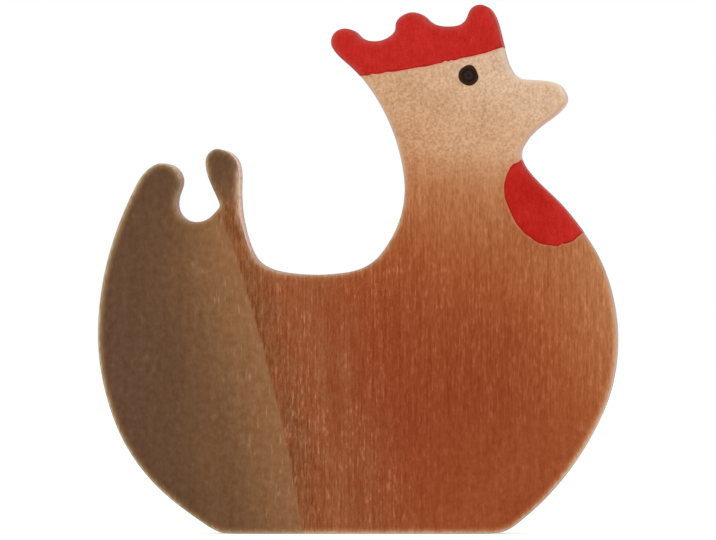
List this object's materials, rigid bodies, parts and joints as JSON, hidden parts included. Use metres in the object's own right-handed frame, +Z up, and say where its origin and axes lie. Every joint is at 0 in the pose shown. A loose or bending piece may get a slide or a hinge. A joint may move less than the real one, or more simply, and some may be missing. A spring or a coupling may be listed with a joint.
{
  "type": "wooden chicken figure",
  "caption": "Flat standing hen cut from one board, with notched tail, painted comb and wattle and a dot of paint for each eye.",
  "frame": {"origin": "centre of the figure's width and thickness, on the surface that it stands on", "axes": "+X towards the beak and breast, -Y out of the front face, +Z up"},
  "size_m": [0.0802, 0.0192, 0.0823],
  "materials": {
    "stained_wood": "matt, stained and sprayed",
    "red_paint": "satin, brushed by hand",
    "black_paint": "gloss drop"
  },
  "bodies": {
    "root": {"wooden_body": "stained_wood", "comb_paint": "red_paint", "wattle_paint": "red_paint", "eye_front": "black_paint", "eye_back": "black_paint"}
  },
  "joints": []
}
